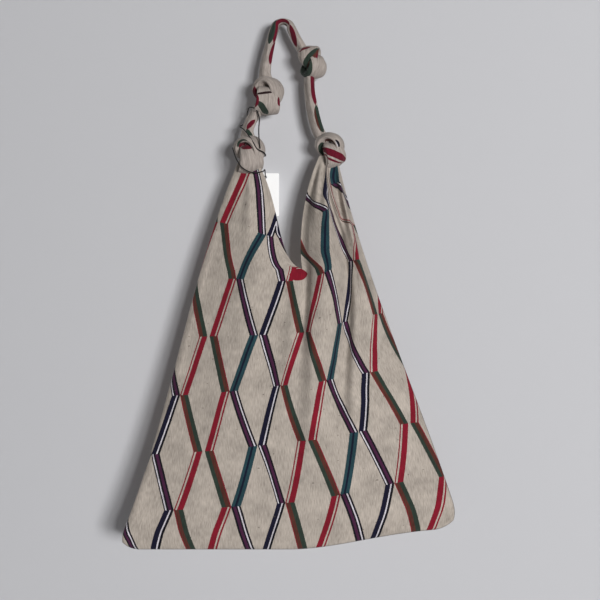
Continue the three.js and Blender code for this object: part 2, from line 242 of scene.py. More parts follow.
def in_plane(half, a, b):
    """x and z of half a panel: the patch blended from its four edges, with its outer
    corner pulled in. a runs from the side seam to the middle, b from hem to tip."""
    s, t = a[..., None], b[..., None]
    low, high, far = corner[half], tip[half][0], tip[half][1]
    p = seam[half](b) * (1 - s) + inner_line(half, b) * s
    p = p + hem[half](a) * (1 - t) + (high + (far - high) * s) * t
    p = p - low * (1 - s) * (1 - t) - hem_middle * s * (1 - t)
    p = p - high * (1 - s) * t - far * s * t
    size = CORNER_ROUND[half]
    near = np.maximum(0, 1 - np.linalg.norm(p - low, axis=-1) / size)
    pull = CORNER_PULL * size * near**CORNER_EASE
    return p + np.stack([pull if half == "left" else -pull, pull], -1)


# Fullness, folds and creases of the panels


def fold_valley(b):
    """Where the valley between the two right folds lies, as a share across the half."""
    return 0.53 - 0.31 * smooth(b, 0.3, 0.82)


def flap_edge(b):
    """Edge of the flap beside that valley; under the knot it moves to the middle."""
    return fold_valley(b) + 0.3 * smooth(b, 0.78, 0.98)


def fullness(panel, half, a, b):
    """Distance out from the seams: a swell over the whole panel, and folds that hang
    from the knots, as bells across the panel that fade towards hem and tip."""
    full = 1 - np.exp(-b / 0.13)
    taper = 1 - 0.7 * smooth(b, 0.5, 1)
    swell = full * taper * np.sin(np.pi / 2 * a) ** 0.8
    ends = smooth(a, 0, 0.1) * smooth(1 - a, 0, 0.16)
    gather = smooth(b, 0.08, 0.72) * (1 - 0.95 * smooth(b, 0.84, 1)) * ends
    if panel == "back":
        fold = bump(a, 0.5, 0.22) * 0.6 if half == "left" else bump(a, 0.42, 0.2)
        return BACK_BULGE * swell + BACK_FOLD * gather * fold
    slack = FRONT_SLACK * bump(b, 0.52, 0.16) * bump(a, 1, 0.12)
    hang = FRONT_BULGE * swell + slack
    if half == "left":
        return hang + FRONT_LEFT_FOLD * gather * bump(a, 0.55, 0.22)
    valley = fold_valley(b)
    crest = valley + 0.32
    big = FRONT_FOLD * bump(a, crest, np.where(a > crest, 0.32, 0.2))
    edge = FRONT_EDGE_FOLD * bump(a, valley / 2, valley / 3)
    return hang + gather * (big + edge)


soft_waves = ripples(3, 14, 60, 150)
fine_waves = ripples(8, 18, 18, 45)
SOFT_WAVE = 1.8
FINE_WAVE = 0.8
RIDGE = 3.5
RIDGE_WIDTH = 9
GROOVE = 4
GROOVE_WIDTH = 5
DENTS = [(-26, -438, 16, 3), (-12, -524, 20, 2.5)]  # x, z, width and depth


def creases(panel, x, z):
    """Small unevenness of hanging cloth, in millimetres: long soft waves, short ones,
    and on the front a soft ridge and a groove below the mouth and two dents."""
    uneven = SOFT_WAVE * soft_waves(x, z) + FINE_WAVE * fine_waves(x, z)
    if panel == "back":
        return uneven
    ridge_x = 22 + 0.14 * (z + NOTCH_DROP)
    ridge = RIDGE * bump(x, ridge_x, RIDGE_WIDTH)
    ridge = ridge * smooth(-z, 312, 350) * (1 - smooth(-z, 400, 480))
    groove_x = 31 + 0.06 * (z + NOTCH_DROP)
    groove = GROOVE * bump(x, groove_x, GROOVE_WIDTH)
    groove = groove * smooth(-z, 290, 318) * (1 - smooth(-z, 350, 430))
    dents = sum(
        depth * bump(np.hypot(x - dent_x, z - dent_z), 0, width)
        for dent_x, dent_z, width, depth in DENTS
    )
    return uneven + ridge - groove - dents


CLIFF = 13
GULLY = 4
PLEATS = 2.2
LEFT_PLEATS = 0.88
PLEAT_COUNT = 4


def gathers(half, a, b):
    """Sharper gathers of the front in millimetres: beside the valley of the right half
    a gully and a cliff that falls off slowly to the side seam, and under each knot a
    few pleats, waves across the horn that fade downwards."""
    inside = smooth(a, 0, 0.15) * smooth(1 - a, 0, 0.15)
    fan = smooth(b, 0.78, 0.93) * (1 - smooth(b, 0.96, 1)) * inside
    pleats = fan * np.sin(2 * np.pi * (PLEAT_COUNT * a + 0.2))
    if half == "left":
        return LEFT_PLEATS * pleats
    past = flap_edge(b) - a
    hung = smooth(b, 0.18, 0.5) * (1 - 0.8 * smooth(b, 0.88, 0.98))
    cliff = CLIFF * smooth(past, -0.05, 0.05) * np.exp(-np.maximum(0, past) / 0.1)
    gully = GULLY * bump(past, -0.07, 0.06)
    return PLEATS * pleats + (cliff - gully) * hung


def edge_distances(a, b, width):
    """Distances from the side seam and from the hem, in millimetres."""
    return a * width, b * (HEM_DROP + KNOTS[0]["z"])


def rounded(distance, radius):
    """Quarter circle: 0 at the edge and 1 from one radius in."""
    x = np.clip(distance / radius, 0, 1)
    return np.sqrt(np.maximum(0, 1 - (1 - x) ** 2))


SEAM_ROUND = 3.0
SEAM_RIDGE = 0.9
SEAM_INSET = 6.5
SEAM_WIDTH = 3.5
SEAM_CALM = 30  # distance from the seams at which creases and gathers are whole
HALF_COLUMNS = 96
ROWS_BELOW = 126
ROWS_ABOVE = 84
CROWDING = 0.55


def crowded(count):
    """Shares from 0 to 1, closer together near both ends: t - k sin(2 pi t) / 2 pi."""
    t = np.linspace(0, 1, count + 1)
    return t - CROWDING * np.sin(2 * np.pi * t) / (2 * np.pi)


def half_panel(panel, half):
    """Outer and inner skin of half a panel on one grid of a and b, with the flat
    coordinates of the cloth. The inner skin stands out from the seams by half the fit,
    the fullness, the creases and the gathers. The outer one adds the cloth and a ridge
    beside the seams, which close in a quarter circle at the side seam and the hem."""
    rows = np.concatenate(
        [MOUTH_AT * crowded(ROWS_BELOW)[:-1], MOUTH_AT + (1 - MOUTH_AT) * crowded(ROWS_ABOVE)]
    )
    a, b = np.meshgrid(crowded(HALF_COLUMNS), rows, indexing="ij")
    flat = in_plane(half, a, b)
    x, z = flat[..., 0], flat[..., 1]
    width = np.linalg.norm(flat[-1:] - flat[:1], axis=-1)
    from_side, from_hem = edge_distances(a, b, width)
    edge = rounded(from_side, SEAM_ROUND) * rounded(from_hem, SEAM_ROUND)
    calm = smooth(from_side, 0, SEAM_CALM) * smooth(from_hem, 0, SEAM_CALM)
    calm = calm * (1 - smooth(b, 0.93, 1))
    out = FIT / 2 + fullness(panel, half, a, b) + creases(panel, x, z) * calm
    if panel == "front":
        out = out + gathers(half, a, b) * calm
    nearest = np.minimum(from_side, from_hem)
    ridge = SEAM_RIDGE * bump(nearest, SEAM_INSET, SEAM_WIDTH) * (1 - smooth(b, 0.9, 1))
    out = np.maximum(out, FIT / 2)
    side = -1 if panel == "front" else 1
    skin = [
        np.stack([x, side * (out + (CLOTH + ridge) * edge), z], -1),
        np.stack([x, side * out, z], -1),
    ]
    return skin, weave_place(panel, half, a, b, skin[0])


# Places on the flat cloth, in columns and rows of the pattern
LEFT_SEAM_COLUMN = (-0.86, 1.6)  # at the hem, and gained up to the tip
LEFT_SHIFT = -0.07
RIGHT_SEAM_COLUMN = (5.08, -0.87)
RIGHT_SEAM_GAIN = 0.25  # beside the right horn
RIGHT_SIDE_GAIN = 0.22  # half way up the right side
MIDDLE_COLUMN = 2.09
MIDDLE_GAIN = 0.27
NOTCH_GAIN = 0.25  # columns tucked away beside the bottom of the mouth
LEFT_MOUTH_LOSS = 1.2  # columns from the mouth's bottom to the tip
RIGHT_MOUTH_GAIN = 0.58
RIGHT_TIP_GAIN = 0.33
FLAP_FROM = 0.84  # share of the height from which the flap of the right horn is whole
FLAP_LIFT = 0.4  # rows gained where it begins
FLAP_TURN = 0.6  # columns tucked away there
FLAP_TUCK = 0.36  # and more of them beside its edge
FLAP_COLUMNS = 2.4  # columns and rows gained up the flap, over the whole height
FLAP_ROWS = 2.5
ROWS_UP = 6.75
LEFT_HEM_ROW = 0.32
HEM_ROW_DROP = 0.27
MIDDLE_ROW_DROP = 0.08
MOUTH_ROW_LIFT = 0.22
MOUTH_FACING = 7.5  # width of the edge turned over along the left of the mouth
BACK_COLUMN = 8.6  # column of the back panel that lies behind column 0


def weave_place(panel, half, a, b, skin):
    """Flat coordinates in millimetres. Columns run with the length of cloth measured
    over the folds, from the side seam to the middle; rows run up the panel. Along the
    left of the mouth the edge is turned over, so columns run back there, and on the
    flap of the right horn columns that the valley hides are added."""
    steps = np.linalg.norm(np.diff(skin, axis=0), axis=-1)
    run = np.concatenate([np.zeros((1, steps.shape[1])), np.cumsum(steps, axis=0)])
    share = run / run[-1:]
    above = np.maximum(0, (b - MOUTH_AT) / (1 - MOUTH_AT))
    middle = MIDDLE_COLUMN + MIDDLE_GAIN * smooth(b, 0.08, 0.45)
    if half == "left":
        facing = MOUTH_FACING * (1 - smooth(b, 0.83, 0.88))
        turned_over = np.maximum(0, share - 1 + facing / run[-1:])
        share = share - 2 * turned_over * smooth(b, MOUTH_AT, MOUTH_AT + 0.03)
        side = LEFT_SEAM_COLUMN[0] + LEFT_SEAM_COLUMN[1] * b
        column = side * (1 - share) + (middle - LEFT_MOUTH_LOSS * above) * share
        column = column + LEFT_SHIFT * (1 - smooth(share, 0.8, 1))
    else:
        side = RIGHT_SEAM_COLUMN[0] + RIGHT_SEAM_COLUMN[1] * b
        side = side + RIGHT_SEAM_GAIN * smooth(b, 0.6, 0.85) + RIGHT_SIDE_GAIN * bump(b, 0.52, 0.13)
        middle = middle + RIGHT_MOUTH_GAIN * above + RIGHT_TIP_GAIN * smooth(b, 0.84, 0.9)
        column = side * (1 - share) + middle * share
        column = column + NOTCH_GAIN * smooth(b, 0.69, 0.76) * smooth(share, 0.5, 1)
    across = a / 2 if half == "left" else 1 - a / 2
    row = ROWS_UP * b + LEFT_HEM_ROW - HEM_ROW_DROP * across
    row = row + MOUTH_ROW_LIFT * smooth(b, 0.4, 0.7) * bump(across, 0.5, 0.3)
    row = row - MIDDLE_ROW_DROP * bump(across, 0.55, 0.25) * bump(b, 0.3, 0.2)
    if half == "right":
        edge = flap_edge(b)
        flap = 1 - smooth(a, edge - 0.08, edge + 0.05)
        begun = smooth(b, 0.815, FLAP_FROM)
        high = np.maximum(0, b - FLAP_FROM)
        gained = (FLAP_TURN + FLAP_TUCK * a / edge) * begun + FLAP_COLUMNS * high
        column = column + gained * flap
        row = row + (FLAP_LIFT * smooth(b, 0.72, 0.81) + FLAP_ROWS * high) * flap
    if panel == "back":
        column = BACK_COLUMN - column
    return np.stack([column * COLUMN, row * ROW], -1)


# Meshes


def grid_faces(rows, columns, closed=False):
    """Quads of a grid of points, row by row; a closed grid joins its last column."""
    i, j = np.meshgrid(np.arange(rows - 1), np.arange(columns - 1 + closed), indexing="ij")
    k = (j + 1) % columns
    here, above = i * columns, (i + 1) * columns
    return np.stack([here + j, here + k, above + k, above + j], -1).reshape(-1, 4)


def add_piece(name, points, faces, flat):
    """A smooth mesh object in metres; flat holds a flat coordinate for each face's
    corners, in millimetres, and becomes the piece's UV map in metres."""
    mesh = bpy.data.meshes.new(name)
    mesh.from_pydata((points * MM).tolist(), [], faces)
    layer = mesh.uv_layers.new(name="cloth")
    layer.data.foreach_set("uv", (flat * MM).astype(np.float32).ravel())
    mesh.shade_smooth()
    piece = bpy.data.objects.new(name, mesh)
    bpy.context.scene.collection.objects.link(piece)
    return piece


TOGETHER = 0.002
NO_EDGE = 0.001


def weld(piece):
    """Joins points that lie together and turns the faces outwards."""
    work = bmesh.new()
    work.from_mesh(piece.data)
    bmesh.ops.remove_doubles(work, verts=work.verts, dist=TOGETHER * MM)
    bmesh.ops.dissolve_degenerate(work, edges=work.edges, dist=NO_EDGE * MM)
    bmesh.ops.recalc_face_normals(work, faces=work.faces)
    work.to_mesh(piece.data)
    work.free()
    piece.data.shade_smooth()


MOUTH_RIM_STEPS = 4
MOUTH_RIM_START = 6  # rows over which the rim grows round


def panel_piece(panel):
    """A panel of cloth: both skins of both halves, closed round the mouth by a rounded
    rim and at the tips of the horns by a flat one."""
    points, quads, flats = [], [], []
    count = 0

    def patch(grid, place):
        """Adds a grid of points, with their places on the flat cloth."""
        nonlocal count
        rows, columns = grid.shape[:2]
        made = grid_faces(rows, columns)
        flats.append(place.reshape(-1, 2)[made])
        quads.append(made + count)
        points.append(grid.reshape(-1, 3))
        count += rows * columns

    for half in ("left", "right"):
        (outer, inner), place = half_panel(panel, half)
        patch(outer, place)
        patch(inner, place)
        share = np.linspace(0, 1, MOUTH_RIM_STEPS + 1)[:, None, None]
        top = slice(ROWS_BELOW, None)
        edge_out, edge_in = outer[-1, top], inner[-1, top]
        way = unit(np.gradient(edge_out, axis=0))
        aside = np.cross(way, [0, 1, 0]) * (1 if half == "left" else -1)
        swell = np.sin(np.pi * share) * CLOTH / 2
        calm = smooth(np.arange(len(edge_out)), 0, MOUTH_RIM_START)[None, :, None]
        rim = edge_out * (1 - share) + edge_in * share + aside * swell * calm
        patch(rim, np.broadcast_to(place[-1, top], rim.shape[:2] + (2,)))
        end = np.stack([outer[:, -1], inner[:, -1]])
        patch(end, np.broadcast_to(place[:, -1], end.shape[:2] + (2,)))
    faces = np.concatenate(quads).tolist()
    piece = add_piece(f"{panel}_cloth", np.concatenate(points), faces, np.concatenate(flats))
    weld(piece)
    return piece


# Strap


def spline(points, per):
    """The centripetal curve through points, with `per` samples in each span."""
    p = np.asarray(points, float)
    p = np.vstack([2 * p[0] - p[1], p, 2 * p[-1] - p[-2]])
    knots = np.concatenate([[0], np.cumsum(np.sqrt(np.linalg.norm(np.diff(p, axis=0), axis=1)))])
    share = np.linspace(0, 1, per, endpoint=False)
    t0, t1, t2, t3 = (knots[i : len(knots) - 3 + i, None] for i in range(4))
    p0, p1, p2, p3 = (p[i : len(p) - 3 + i, None] for i in range(4))
    t = t1 + (t2 - t1) * share

    def lerp(q, r, lo, hi):
        return q + (r - q) * ((t - lo) / (hi - lo))[..., None]

    low, mid, high = lerp(p0, p1, t0, t1), lerp(p1, p2, t1, t2), lerp(p2, p3, t2, t3)
    curve = lerp(lerp(low, mid, t0, t2), lerp(mid, high, t1, t3), t1, t2)
    return np.vstack([curve.reshape(-1, 3), p[-2]])


def leaning(degrees):
    """The way up, leaning to the right by an angle."""
    turn = np.radians(degrees)
    return np.array([np.sin(turn), 0, np.cos(turn)])


def turned(v, axis, degrees):
    """v turned about a unit axis that is square to it."""
    turn = np.radians(degrees)
    return v * np.cos(turn) + np.cross(axis, v) * np.sin(turn)


def middle_of(knot):
    """Middle of a knot, in the plane of the side seams."""
    return np.array([knot["x"], 0, knot["z"]], float)


def lead_of(knot):
    """Length from the middle of a knot to where the strap runs free."""
    return (KNOT_TURN + KNOT_CROSS + KNOT_BAND_THICK) * knot["size"]


KNOT_STEPS = 24
# Hidden ends of the strap, as shares of a lead and of the strap
END_LEAD = 0.7
END_WIDTH = 0.8
END_THICK = 0.5


def knot_stations(knot):
    """The strap up through an overhand knot: place, facing, width and thickness along
    an opened trefoil, r = turn + cross cos 3t at the angle 2t, out by cross sin 3t."""
    size, middle, along = knot["size"], middle_of(knot), leaning(knot["lean"])
    out = turned(leaning(knot["lean"] + 90), along, knot["spin"])
    through = np.cross(out, along) * knot["hand"]
    t = np.radians(300 - 240 * np.linspace(0, 1, KNOT_STEPS + 1))[:, None]
    r = KNOT_TURN + KNOT_CROSS * np.cos(3 * t)
    offset = out * r * np.cos(2 * t) + along * r * np.sin(2 * t)
    offset = (offset + through * KNOT_CROSS * np.sin(3 * t)) * size
    wide = (1 + np.cos(3 * t[:, 0])) / 2
    width = (KNOT_CORE + (KNOT_BAND - KNOT_CORE) * wide) * size
    thick = (KNOT_CORE_THICK + (KNOT_BAND_THICK - KNOT_CORE_THICK) * wide) * size
    start = middle - leaning(knot["below"]) * lead_of(knot)
    end = middle + leaning(knot["above"]) * lead_of(knot)
    run = [*through, STRAP_WIDTH, STRAP_THICK]
    turns = np.column_stack([middle + offset, offset, width, thick])
    return np.vstack([[*start, *run], turns, [*end, *run]])


def top_stations():
    """Half a turn over the top, the strap pressed flat at its highest place."""
    turn = np.radians([185, 153, 122, 90, 58, 27, -5])
    face = np.stack([np.cos(turn), 0 * turn, np.sin(turn)], -1)
    thick = LIMB_THICK + (TOP_THICK - LIMB_THICK) * np.maximum(0, np.sin(turn))
    at = face * (TOP_BEND + thick / 2)[:, None] + [0, 0, -TOP_BEND]
    return np.column_stack([at, face, 0 * thick + STRAP_WIDTH, thick])


def end_station(knot):
    """An end of the strap, inside a horn just below its knot."""
    at = middle_of(knot) - leaning(knot["below"]) * lead_of(knot) * END_LEAD
    return np.array([[*at, 0, -1, 0, STRAP_WIDTH * END_WIDTH, STRAP_THICK * END_THICK]])


def strap_stations():
    """All stations from the left horn over the top to the right horn."""
    lower_left, upper_left, upper_right, lower_right = KNOTS
    return np.vstack(
        [
            end_station(lower_left),
            knot_stations(lower_left)[1:],
            knot_stations(upper_left),
            top_stations(),
            knot_stations(upper_right)[::-1],
            knot_stations(lower_right)[1:][::-1],
            end_station(lower_right),
        ]
    )


STRAP_PER_SPAN = 6
STRAP_SIDES = 44
FACING_PASSES = 6
CREASE = 0.05
CREASE_DRIFT = 34  # length of strap in which their phase drifts by one radian
KNOT_DRAW = 0.75  # share by which a knot's middle is drawn together
KNOT_DRAWN = (5, 20)  # wholly up to the first distance, and not from the second on


def carried_facing(face, way):
    """Facings squared to the path, each turned over where it would oppose the last."""
    face = unit(face - way * (face * way).sum(1, keepdims=True))
    agree = np.sign((face[1:] * face[:-1]).sum(1))
    return face * np.concatenate([[1], np.cumprod(agree)])[:, None]


def strap_ring():
    """Points round the strap, and the length along it: an oval carried along the path of
    its stations, creased lengthwise by waves round the oval whose phase drifts along the
    strap, and drawn together in the middle of each knot."""
    stations = strap_stations()
    path = spline(stations[:, :3], STRAP_PER_SPAN)
    way = unit(np.gradient(path, axis=0))
    place = np.linspace(0, len(stations) - 1, len(path))
    known = np.arange(len(stations))
    station_way = way[::STRAP_PER_SPAN]
    station_face = carried_facing(unit(stations[:, 3:6]), station_way)
    face = np.stack([np.interp(place, known, station_face[:, k]) for k in range(3)], -1)
    for _ in range(FACING_PASSES):
        face[1:-1] = (face[:-2] + 2 * face[1:-1] + face[2:]) / 4
    face = unit(face - way * (face * way).sum(1, keepdims=True))
    aside = np.cross(face, way)
    wide = np.interp(place, known, stations[:, 6])[:, None] / 2
    thick = np.interp(place, known, stations[:, 7])[:, None] / 2
    run = np.concatenate([[0], np.cumsum(np.linalg.norm(np.diff(path, axis=0), axis=1))])
    turn = np.linspace(0, 2 * np.pi, STRAP_SIDES, endpoint=False)
    drift = run[:, None] / CREASE_DRIFT
    crease = 1 + CREASE * np.sin(3 * turn + drift) + CREASE * np.sin(5 * turn - 1.7 * drift + 1)
    crease = crease + 0.5 * CREASE * np.sin(9 * turn + 0.6 * drift)
    ring = path[:, None] + aside[:, None] * (wide * crease * np.cos(turn))[..., None]
    ring = ring + face[:, None] * (thick * crease * np.sin(turn))[..., None]
    for knot in KNOTS:
        middle = middle_of(knot)
        apart = np.linalg.norm(ring - middle, axis=-1, keepdims=True)
        ring = middle + (ring - middle) * (1 - KNOT_DRAW * (1 - smooth(apart, *KNOT_DRAWN)))
    return ring, run


STRAP_GIRTH = 48.4


def strap_place(run):
    """Flat coordinates of the rolled strip in millimetres: round it, and along it."""
    j = np.arange(STRAP_SIDES + 1) / STRAP_SIDES
    return np.stack(np.broadcast_arrays(STRAP_GIRTH * j[None], run[:, None]), -1)


def strap_piece():
    """The strap's mesh, closed by a fan of triangles at each of its hidden ends."""
    ring, run = strap_ring()
    quads = grid_faces(len(ring), STRAP_SIDES, closed=True)
    first = np.arange(STRAP_SIDES)
    after = (first + 1) % STRAP_SIDES
    last = (len(ring) - 1) * STRAP_SIDES
    hub = 0 * first + last + STRAP_SIDES
    caps = np.vstack(
        [np.stack([after, first, hub], -1), np.stack([last + first, last + after, hub + 1], -1)]
    )
    points = np.vstack([ring.reshape(-1, 3), ring[0].mean(0), ring[-1].mean(0)])
    flat = strap_place(run).reshape(-1, 2)[grid_faces(len(ring), STRAP_SIDES + 1)]
    flat = np.vstack([flat.reshape(-1, 2), np.zeros((caps.size, 2))])
    return add_piece("knotted_strap", points, quads.tolist() + caps.tolist(), flat)


# Cord


CORD_PER_SPAN = 10
CORD_SIDES = 10
CORD_REFERENCE = (0.6, 0.55, 0.58)
EYE_DROP = 5  # middle of the tag's eye, below the tag's top
EYE_RADIUS = 2
CORD_BEFORE = 5  # cord in front of the eye, and behind it
CORD_BEHIND = 2.5


def cord_path():
    """The cord's points in millimetres, ending through the top of the tag's eye."""
    low, high = (np.array(v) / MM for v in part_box("swing_tag"))
    eye = (low + high) / 2
    eye[2] = high[2] - EYE_DROP + EYE_RADIUS - CORD / 2 - FIT
    ends = [eye - [0, CORD_BEFORE, 0], eye, eye + [0, CORD_BEHIND, 0]]
    return np.vstack([np.array(CORD_POINTS) + middle_of(KNOTS[0]), ends])


def cord_piece():
    """A round tube along the cord's path. Each ring is square to the path and turned by
    one fixed direction that the path never takes."""
    path = spline(cord_path(), CORD_PER_SPAN)
    way = unit(np.gradient(path, axis=0))
    face = unit(np.cross(way, CORD_REFERENCE))
    aside = np.cross(way, face)
    turn = np.linspace(0, 2 * np.pi, CORD_SIDES, endpoint=False)
    ring = path[:, None] + CORD / 2 * (
        face[:, None] * np.cos(turn)[:, None] + aside[:, None] * np.sin(turn)[:, None]
    )
    quads = grid_faces(len(ring), CORD_SIDES, closed=True)
    run = np.concatenate([[0], np.cumsum(np.linalg.norm(np.diff(path, axis=0), axis=1))])
    j = np.arange(CORD_SIDES + 1) / CORD_SIDES * np.pi * CORD
    flat = np.stack(np.broadcast_arrays(j[None], run[:, None]), -1).reshape(-1, 2)
    corners = flat[grid_faces(len(ring), CORD_SIDES + 1)]
    return add_piece("black_cord", ring.reshape(-1, 3), quads.tolist(), corners), path, run[-1]


# Materials


def srgb(red, green, blue):
    """A colour given as 0 to 255 on screen, as linear light."""
    c = np.array([red, green, blue]) / 255
    linear = np.where(c <= 0.04045, c / 12.92, ((c + 0.055) / 1.055) ** 2.4)
    return (*linear.tolist(), 1.0)


CREAM = srgb(169, 159, 149)
# painted shade: the strap's cream is the panels' cream made darker, standing in for the shade in and
# around the knots
SHADED_STRAP_CREAM = srgb(160, 150, 143)
RED = srgb(120, 14, 34)
GREEN = srgb(40, 52, 44)
BROWN = srgb(80, 41, 33)
NAVY = srgb(11, 10, 36)
INK = srgb(8, 7, 17)
TEAL = srgb(30, 59, 66)
DEEP = srgb(8, 15, 36)
PURPLE = srgb(64, 25, 55)
WHITE = srgb(196, 191, 198)
SHADE = srgb(40, 22, 24)
WINE = srgb(92, 6, 30)
SLUB = srgb(70, 62, 55)
CARD = (srgb(240, 240, 240), srgb(250, 250, 249))
CORD_BLACK = (srgb(8, 8, 10), srgb(24, 24, 27))

# Pitch of the weave's ribs and threads and of the cord's strands
RIB = 1.1
THREAD = 0.7
STRAND = 1.6

# Stripes of each band from left to right, each with the share of the band it starts at
BANDS = {
    "first_odd": [(0, INK), (0.13, WHITE), (0.27, INK), (0.48, PURPLE), (0.8, INK)],
    "first_even": [(0, NAVY), (0.5, INK), (0.57, WHITE), (0.72, INK)],
    "second_odd": [(0, RED), (0.14, CREAM), (0.33, RED)],
    "second_even": [(0, RED), (0.1, BROWN), (0.5, GREEN)],
    "third_odd": [(0, GREEN), (0.45, BROWN), (0.88, RED)],
    "third_even": [(0, RED), (0.64, CREAM), (0.81, RED)],
    "fourth_odd": [(0, TEAL), (0.35, DEEP), (0.58, TEAL)],
    "fourth_even": [(0, INK), (0.2, PURPLE), (0.49, INK), (0.66, WHITE), (0.8, INK)],
}
BAND = 0.168  # width of a band, in columns
FRAY = 0.02  # how far its edges wander, in columns
ROWS_ADDED = 21  # odd, so that bands are widest apart at even rows
COLUMNS_ADDED = 20.5  # even, and a half that puts a band in the middle of its cell
TOUCH = 0.01  # gap between two bands where they meet
# What the spread of each band has beyond that, at odd rows and at even rows
SPREAD = {
    "first": (-0.005, 0.002),
    "second": (-0.005, -0.017),
    "third": (-0.0075, -0.017),
    "fourth": (-0.0075, 0.002),
}

# Pieces of the bands that show on the rolled strap, and one line of painted shade in a fold of
# the upper knot, from the left knots over the top to the right ones: along and round at one
# end, the same at the other, width, stripes
STRAP_MARKS = [
    ("left knot, red in the turn", 76, 42.5, 58, 41.5, 6, [(0, WINE)]),
    ("left knot, green rim", 74, 45.5, 50, 48.8, 4, [(0, GREEN)]),
    ("left knot, red on the wrap", 150, 5, 145, 15, 6, [(0, WINE)]),
    ("left run, green", 184, 15.5, 174, 21, 5.5, [(0, GREEN)]),
    ("left run, red", 183, 16, 199, 23, 6, [(0, WINE)]),
    ("upper knot, green", 347, 29.5, 331, 37, 5, [(0, GREEN)]),
    ("upper knot, red turn", 356, 26.5, 338, 26.5, 6, [(0, WINE)]),
    ("upper knot, red side", 287, 24, 302, 27, 9, [(0, WINE)]),
    # painted shade: a dark line along the fold of the upper knot, where shade falls, not a band of the
    # weave
    ("upper knot, painted fold shade", 354.5, 26, 354.5, 41, 2.2, [(0, SHADE)]),
    ("upper knot, red rim", 351, 44.5, 342, 44.5, 3, [(0, WINE)]),
    ("left limb, red", 405, 1.5, 436, 6, 8.5, [(0, WINE)]),
    ("top, red", 432, 3, 482, 3, 9, [(0, WINE)]),
    ("top, green", 430, 44, 462, 45, 11, [(0, GREEN)]),
    ("top, inner edge", 432, 9, 466, 14, 4, [(0, INK)]),
    ("right limb, inside", 468, 12, 490, 13, 7, [(0, GREEN), (0.5, BROWN)]),
    ("right limb, red", 480, 0.5, 508, 8.5, 8.5, [(0, WINE)]),
    ("far knot, green end", 544, 46, 590, 50, 14, [(0, GREEN)]),
    ("far knot, thin red", 626, 45.5, 622, 34, 3.8, [(0, WINE)]),
    ("far knot, green edge", 620, 19, 650, 41, 14, [(0, WINE), (0.45, BROWN), (0.7, GREEN)]),
    ("right run, red", 655, 41, 702, 48.5, 10, [(0, WINE)]),
    ("right run, green", 701, 47.5, 740, 49, 11, [(0, GREEN), (0.72, BROWN)]),
    ("right knot, red band", 762, 56, 795, 24, 9, [(0, WINE), (0.62, SHADED_STRAP_CREAM), (0.8, WINE)]),
    ("right knot, dark red", 808, 46, 822, 44, 6, [(0, WINE)]),
    ("right knot, green turn", 826, 46, 846, 57, 5, [(0, GREEN)]),
    ("right knot, brown turn", 846, 57.5, 870, 50.5, 5, [(0, BROWN)]),
    ("right knot, black", 865, 45, 874, 45, 5, [(0, INK), (0.8, WHITE)]),
]

# The same on the panels, beside the bottom of the mouth: row and column in millimetres
PANEL_GIRTH = 10000  # a panel doesn't close on itself
PANEL_MARKS = [("mouth, red corner", 368, 143, 367, 173, 15, [(0, RED)])]


class Wiring:
    """A node tree being wired. `node` adds a node, `join` feeds a socket from an output
    or a plain value, and the others add a wired node and return what it puts out."""

    def __init__(self, tree):
        self.tree = tree

    def node(self, kind, **settings):
        made = self.tree.nodes.new(kind)
        for name, value in settings.items():
            setattr(made, name, value)
        return made

    def join(self, source, socket):
        if hasattr(source, "links"):
            self.tree.links.new(source, socket)
        else:
            socket.default_value = source

    def math(self, operation, *values):
        made = self.node("ShaderNodeMath", operation=operation)
        for value, socket in zip(values, made.inputs):
            self.join(value, socket)
        return made.outputs[0]

    def mix(self, share, first, second, blend="MIX"):
        made = self.node("ShaderNodeMix", data_type="RGBA", blend_type=blend)
        self.join(share, made.inputs[0])
        self.join(first, made.inputs[6])
        self.join(second, made.inputs[7])
        return made.outputs[2]

    def noise(self, vector, scale, detail=2.0, roughness=0.5):
        made = self.node("ShaderNodeTexNoise")
        self.join(vector, made.inputs["Vector"])
        made.inputs["Scale"].default_value = scale
        made.inputs["Detail"].default_value = detail
        made.inputs["Roughness"].default_value = roughness
        return made.outputs[0]

    def stripes(self, place, bands):
        """Colours with hard edges, by a place between 0 and 1."""
        made = self.node("ShaderNodeValToRGB")
        ramp = made.color_ramp
        ramp.interpolation = "CONSTANT"
        while len(ramp.elements) < len(bands):
            ramp.elements.new(0.99)
        for element, (start, colour) in zip(ramp.elements, bands):
            element.position = start
            element.color = colour
        self.join(place, made.inputs[0])
        return made.outputs[0]

    def split(self, vector):
        made = self.node("ShaderNodeSeparateXYZ")
        self.join(vector, made.inputs[0])
        return made.outputs[0], made.outputs[1]

    def merge(self, x, y):
        made = self.node("ShaderNodeCombineXYZ")
        self.join(x, made.inputs[0])
        self.join(y, made.inputs[1])
        return made.outputs[0]


def group(name, inputs, outputs):
    """A shader node group with named sockets; returns its wiring and both ends."""
    tree = bpy.data.node_groups.new(name, "ShaderNodeTree")
    for label, kind in inputs:
        tree.interface.new_socket(label, in_out="INPUT", socket_type=kind)
    for label, kind in outputs:
        tree.interface.new_socket(label, in_out="OUTPUT", socket_type=kind)
    wiring = Wiring(tree)
    return wiring, wiring.node("NodeGroupInput").outputs, wiring.node("NodeGroupOutput").inputs


